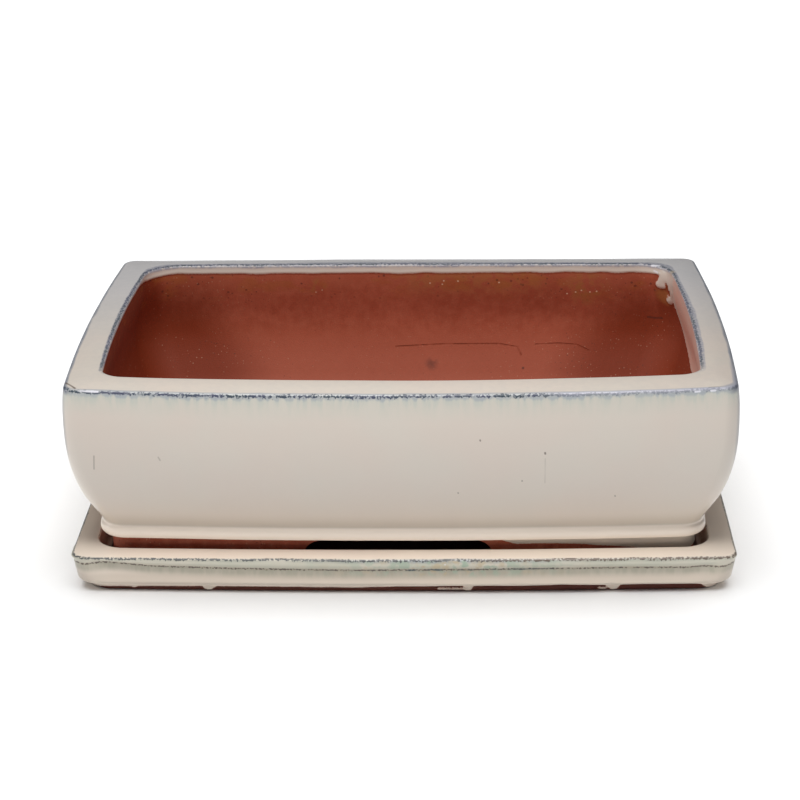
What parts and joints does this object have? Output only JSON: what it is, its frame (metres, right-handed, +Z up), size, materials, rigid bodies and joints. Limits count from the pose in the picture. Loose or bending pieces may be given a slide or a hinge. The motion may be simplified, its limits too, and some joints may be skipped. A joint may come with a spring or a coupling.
{
  "type": "bonsai pot with saucer",
  "caption": "Low rectangular bonsai pot with bowed glazed walls, a flat lip, a rolled foot band and arched feet, standing in its own shallow saucer.",
  "frame": {"origin": "on the ground under the middle of the saucer", "axes": "+X along the long sides, +Y from the front to the back, +Z up"},
  "size_m": [0.3106, 0.2132, 0.102],
  "materials": {
    "pot_glaze": "cream glaze, half gloss, breaking to blue-violet on the edges, over red terracotta left bare inside and under the feet",
    "saucer_glaze": "cream glaze with a green-grey cast and blue flecks in the hollows, over a bare terracotta plinth"
  },
  "bodies": {
    "saucer_body": {"saucer": "saucer_glaze"},
    "pot_body": {"pot": "pot_glaze"}
  },
  "joints": [
    {"name": "pot_lift", "type": "slide", "parent": "saucer_body", "child": "pot_body", "axis": [0, 0, 1], "range_m": [0, 0.12]}
  ]
}
